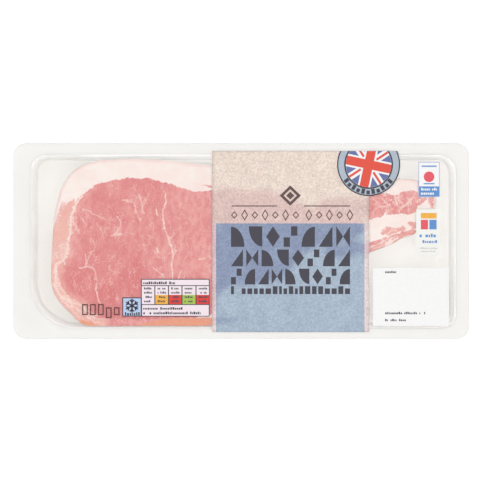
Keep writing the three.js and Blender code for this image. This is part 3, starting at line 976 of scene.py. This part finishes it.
def word(left, front, height, letter, count, form):
    """A run of plain mosaic tiles that stands where a word of so many letters would be."""
    marks = []
    for i in range(count):
        x = left + i * letter * (1 + TILE_GAP)
        for tile in TILES[(i * 3 + form) % len(TILES)]:
            marks.append([(x + px * letter, front + py * height) for px, py in tile])
    return marks


def fine_text(left, right, front, height, seed):
    """A line of tiny uneven marks, as small print looks from a step away."""
    draw = np.random.default_rng(seed)
    marks, x = [], left
    while x < right - 0.5:
        wide = draw.uniform(0.45, 0.95) * height * 0.75
        tall = height * draw.choice([1.0, 0.72, 0.72])
        if draw.random() > 0.1:
            marks.append(rect(x, min(x + wide, right), front, front + tall))
        x += wide + height * 0.22
    return marks


def text_lines(*lines):
    return [mark for line in lines for mark in fine_text(*line)]


def make_print(name, shapes, colour, layer, stands_for=()):
    """Thin plates of ink of one colour, following the film. A higher layer lies over a lower one."""
    lift = PRINT_LIFT + layer * PRINT_STEP
    points, faces = [], []
    for shape in shapes:
        outline = np.array(shape)
        if np.cross(outline, np.roll(outline, -1, axis=0)).sum() < 0:
            outline = outline[::-1]
        z = film_top(outline[:, 0], outline[:, 1]) + lift
        more, more_faces = loft([np.column_stack([outline, height]) for height in (z - INK_THICKNESS, z)])
        faces += [tuple(i + len(points) for i in face) for face in more_faces]
        points += more.tolist()
    piece(name, points, faces, [ink[colour]], stands_for, smooth=False)


def lean_below(x, y):
    """How much lean lies under each place of the label, softened by the film and the ink."""
    outline = bend(node_outline("rasher_1")[0], True, 2.0)
    total = 0.0
    spread = [(0, 0)] + [(2.2 * cos(a), 2.2 * sin(a)) for a in np.radians(np.arange(0, 360, 60))]
    for dx, dy in spread:
        near = (x + dx, y + dy)
        total = total + lean_masks(*near, outline)[0] * (depth_in(*near, outline[::4]) > 0)
    return total / len(spread)


def make_label(beige, blue):
    """The label's two fields in one sheet, parted along the blue field's edges."""
    x_lines = np.concatenate([[LABEL.left], np.linspace(BLUE.left, BLUE.right, 70), [LABEL.right]])
    y_lines = np.append(np.linspace(BLUE.front, BLUE.back, 52), np.linspace(BLUE.back, LABEL.back, 36)[1:])
    x, y = np.meshgrid(x_lines, y_lines, indexing="ij")
    points, faces, smooth = draped(x, y, PRINT_LIFT, INK_THICKNESS)
    middles = points[np.array(faces)].mean(axis=1)
    index = [int(BLUE.left < m[0] < BLUE.right and m[1] < BLUE.back) for m in middles]
    label = piece("label_fields", points, faces, [beige, blue], ["label"], smooth, index)
    store(label, "below", np.tile(lean_below(x, y).ravel(), 2))


def make_words():
    """The label's rows of words, its rules and rhombs, and the nested diamond of its mark."""
    left, right = -6.0, 63.7
    rows = []
    for form, (front, height, count) in enumerate(((-3.4, 12.0, 7), (-14.8, 9.8, 8), (-25.4, 9.2, 9))):
        letter = (right - left) / (count * (1 + TILE_GAP) - TILE_GAP)
        rows += word(left, front, height, letter, count, form)
    make_print("words_dark", rows + fine_text(left, right, -31.1, 4.6, 3), "dark", 1)

    rules = [rect(-5.7, 21.0, 20.2, 20.8), rect(36.8, 63.7, 20.2, 20.8)]
    for i in range(12):
        x = left + i * (right - left) / 11.6 + (1.6 if i > 6 else 0)
        rules += thin_rhomb(x + 1.95, 15.2, 2.0, 3.4 if i % 2 else 2.2, 0.55)
    make_print("words_brown", rules, "brown", 1)
    for layer, (name, size, colour) in enumerate(
        (("outer", 6.2, "brown"), ("inner", 3.9, "sand"), ("core", 2.4, "brown")), 1
    ):
        shape = [(28.7 + size * px, 26.6 + 0.96 * size * py) for px, py in RHOMB]
        make_print(f"label_mark_{name}", [shape], colour, layer)


def make_badge():
    """A round badge with a crossed flag, cut off at the label's back edge."""
    for layer, (name, radius, colour) in enumerate((
        ("rim", BADGE_OUTER, "dark"),
        ("ring", BADGE_OUTER - BADGE_LINE, "sky"),
        ("inner_rim", BADGE_RING + 1.2 * BADGE_LINE, "dark"),
        ("white", BADGE_RING, "white"),
    ), 1):
        make_print(f"badge_{name}", [clipped(disc(BADGE_X, BADGE_Y, radius))], colour, layer)
    marks = []
    middle = (BADGE_OUTER + BADGE_RING) / 2
    for i in range(11):
        angle = radians(-144 + i * 10.6)
        x, y = BADGE_X + middle * cos(angle), BADGE_Y + middle * sin(angle)
        marks.append(turned(rect(-1.0, 1.0, -1.5, 1.5 - 0.8 * (i % 2)), angle + pi / 2, x, y))
    make_print("badge_marks", marks, "dark", 3)

    # The flag, about its own middle: blue wedges, then the diagonals and the upright cross on the white.
    radius, clear, band = BADGE_RING - 0.1, 3.7, 2.9
    near = asin(clear / radius)
    far = radians(45) - asin(band / sqrt(2) / radius)

    def placed(shape, angle):
        flag = turned(shape, radians(angle))
        return clipped(turned(flag, BADGE_TILT, BADGE_X, BADGE_Y))

    low = [(clear + band, clear)] + disc(0, 0, radius, degrees(near), degrees(far))
    high = [(py, px) for px, py in low]
    wedges = [placed(half, corner) for corner in range(0, 360, 90) for half in (low, high)]
    make_print("badge_wedges", wedges, "navy", 5)
    diagonals = [placed(rect(5.4, radius, -0.8, 0.5), angle) for angle in range(45, 360, 90)]
    make_print("badge_diagonals", diagonals, "red", 6)
    for layer, (name, angle) in enumerate((("cross", 0), ("upright", 90)), 7):
        make_print(f"badge_{name}", [placed(rect(-radius, radius, -2.6, 2.6), angle)], "red", layer)


def make_left_print():
    """The weight's place, the frost mark and the table of values."""
    bars = []
    for i in range(5):
        left = -93.2 + i * 4.65
        bars += frame_of(left, left + 3.3, -45.2 if i == 3 else -43.4, -38.9 if i > 2 else -37.0, 0.62)
    make_print("weight_marks", bars, "maroon", 1)
    make_print("frost_frame", [rect(-69.6, -58.5, -44.2, -33.1)], "dark", 1)
    make_print("frost_field", [rect(-69.1, -58.9, -43.7, -33.6)], "frost", 2)
    x, y = -64.0, -37.9
    flake = []
    for angle in np.radians(np.arange(90, 450, 60)):
        flake.append(turned(rect(0.3, 4.1, -0.45, 0.45), angle, x, y))
        for lean in (-50, 50):
            twig = turned(rect(0, 1.8, -0.38, 0.38), radians(lean), 2.2)
            flake.append(turned(twig, angle, x, y))
    make_print("frost_flake", flake + [disc(x, y, 0.5)], "dark", 3)
    make_print("frost_bar", fine_text(-68.2, -59.0, -43.6, 1.9, 8), "dark", 3)

    columns = [-58.5, -50.6, -42.6, -34.7, -26.5, -18.6]
    spans = list(zip(columns, columns[1:]))
    make_print("table_frame", [rect(-58.5, -18.6, -44.2, -22.3)], "dark", 1)
    cells = [rect(-58.1, -19.0, -25.9, -22.7), rect(-58.1, -19.0, -43.8, -37.5)]
    make_print("table_cells", cells + [rect(a + 0.3, b - 0.3, -37.0, -26.4) for a, b in spans], "blush", 2)
    for colour, picks in (("amber", spans[1:2]), ("scarlet", spans[2::2]), ("green", spans[3:4])):
        make_print(f"table_{colour}", [rect(a + 0.3, b - 0.3, -37.0, -31.6) for a, b in picks], colour, 3)
    text = text_lines(
        (-57.4, -38.5, -25.3, 1.5, 11), (-57.4, -34.0, -40.2, 1.4, 12), (-57.4, -23.8, -42.9, 1.5, 13)
    )
    for i, (a, b) in enumerate(spans):
        for k, front in enumerate((-28.4, -30.8, -33.4, -35.9)):
            text += fine_text(a + 1.6, b - 1.4, front, 1.25, 20 + 4 * i + k)
    make_print("table_text", text, "dark", 4)


def make_right_print():
    """Two small stickers with plain marks, and the date panel."""
    for name, colour, layer, shapes in (
        ("sticker_edge", "lilac", 1, [rect(103.8, 116.3, 25.8, 46.3)]),
        ("sticker", "white", 2, [rect(104.2, 115.9, 26.2, 45.9)]),
        ("sticker_band", "azure", 3, [rect(104.2, 115.9, 26.2, 32.0)]),
        ("sticker_band_text", "white", 4,
         text_lines((105.4, 114.8, 29.6, 1.5, 40), (105.2, 115.0, 27.1, 1.7, 41))),
        ("sticker_disc", "rose", 3, [disc(110.0, 37.6, 3.1)]),
        ("sticker_lines", "azure", 3, [rect(105.6, 114.4, 43.4, 44.2), rect(106.8, 113.2, 33.2, 33.9)]),
        ("mark_back", "off_white", 1, [rect(102.4, 116.6, -8.4, 18.6)]),
        ("mark_amber", "amber", 2, [rect(105.2, 114.4, 13.2, 16.4)]),
        ("mark_rose", "rose", 2, [rect(105.2, 109.4, 6.8, 12.4)]),
        ("mark_azure", "azure", 2, [rect(110.2, 114.4, 6.8, 12.4)]),
        ("mark_text", "azure", 2, text_lines((104.4, 115.4, 2.2, 2.1, 42), (104.8, 115.2, -1.2, 1.7, 43))),
        ("mark_small_text", "grey", 2,
         text_lines((104.6, 115.2, -4.6, 0.8, 44), (105.4, 114.2, -6.4, 0.8, 45))),
    ):
        make_print(name, shapes, colour, layer)

    make_print("date_panel_field", [rect(*PANEL)], "white", 1, ["date_panel"])
    text = text_lines(
        (84.3, 91.3, -18.8, 1.4, 50), (84.3, 107.7, -42.9, 1.4, 51), (84.3, 96.6, -47.0, 1.4, 52)
    )
    make_print("date_panel_text", text, "dark", 2)


# ---- Studio ----

def make_camera():
    """Straight above the pack, far enough away that the walls of the well look alike."""
    distance, view_width, sensor = 1500.0, 283.0, 36.0
    data = bpy.data.cameras.new("camera")
    data.sensor_width = sensor
    data.lens = sensor * distance / view_width
    data.clip_start, data.clip_end = 0.01, 20
    camera = new_object("camera", data)
    camera.location = (0.15 * MM, -0.3 * MM, (TRAY_TOP + distance) * MM)
    bpy.context.scene.camera = camera


LAMPS = ((-0.55, 0.6, 2.2), (0.55, 0.6, 2.2), (0.55, -0.6, 2.2), (-0.55, -0.6, 2.2))  # places, in metres
LAMP_SIZE, LAMP_POWER = 0.9, 3.0
FLOOR_REACH, FLOOR_GAP = 4.0, 0.2 * MM  # half the floor's side, and its depth below the tray, in metres


def area_light(name, place):
    """A lamp that faces the middle of the pack."""
    data = bpy.data.lights.new(name, "AREA")
    data.size, data.energy = LAMP_SIZE, LAMP_POWER
    light = new_object(name, data)
    light.location = place
    x, y, z = -np.array(place)
    light.rotation_euler = (atan2(hypot(x, y), -z), 0, atan2(y, x) - pi / 2)


def make_studio():
    scene = bpy.context.scene
    world = bpy.data.worlds.new("studio")
    world.use_nodes = True
    sky = world.node_tree.nodes["Background"].inputs
    sky["Color"].default_value = (1.0, 0.998, 0.992, 1)
    sky["Strength"].default_value = 1.0
    scene.world = world
    for i, place in enumerate(LAMPS):
        area_light(f"lamp_{i + 1}", place)
    scene.view_settings.view_transform = "Standard"
    scene.view_settings.look = "None"

    look = Look("floor")
    tint = look.mix(look.noise(60, 2), (0.93, 0.93, 0.93, 1), (0.95, 0.95, 0.95, 1))
    white = (1, 1, 1, 1)
    material = look.surface(Base_Color=tint, Roughness=0.6, Emission_Color=white, Emission_Strength=1.1)
    mesh = bpy.data.meshes.new("floor")
    square = rect(-FLOOR_REACH, FLOOR_REACH, -FLOOR_REACH, FLOOR_REACH)
    mesh.from_pydata([(x, y, -FLOOR_GAP) for x, y in square], [], [(0, 1, 2, 3)])
    mesh.materials.append(material)
    new_object("floor", mesh)


# ---- The pack ----

make_camera()
make_studio()
# The tray's one plastic takes its own shade on the flange, wall, floor and cut edge outside the film. The
# wall, floor and edge are darker than the flange: painted shade that sets how bright each shows under this
# light.
make_tray([
    tray_plastic("tray_flange", (0.76, 0.749, 0.733)),
    tray_plastic("tray_wall", (0.477, 0.465, 0.447), (0.82, 0.8, 0.78), 7.0, right=0.25, back=1.0),
    tray_plastic("tray_floor", (0.592, 0.581, 0.562), (0.74, 0.727, 0.708), 3.0, right=0.33, back=1.0),
    tray_plastic("tray_edge", (0.72, 0.718, 0.712)),
])
meat = bacon()
make_top_rasher(meat)
for number in range(2, RASHERS + 1):
    make_lower_rasher(number, meat)
make_film(clear_film())
make_label(
    field_ink("ink_beige", printed(236, 219, 207), printed(222, 192, 186), BESIDE_BLUE),
    field_ink("ink_blue", printed(168, 185, 203), printed(136, 149, 179)),
)
make_words()
make_badge()
make_left_print()
make_right_print()
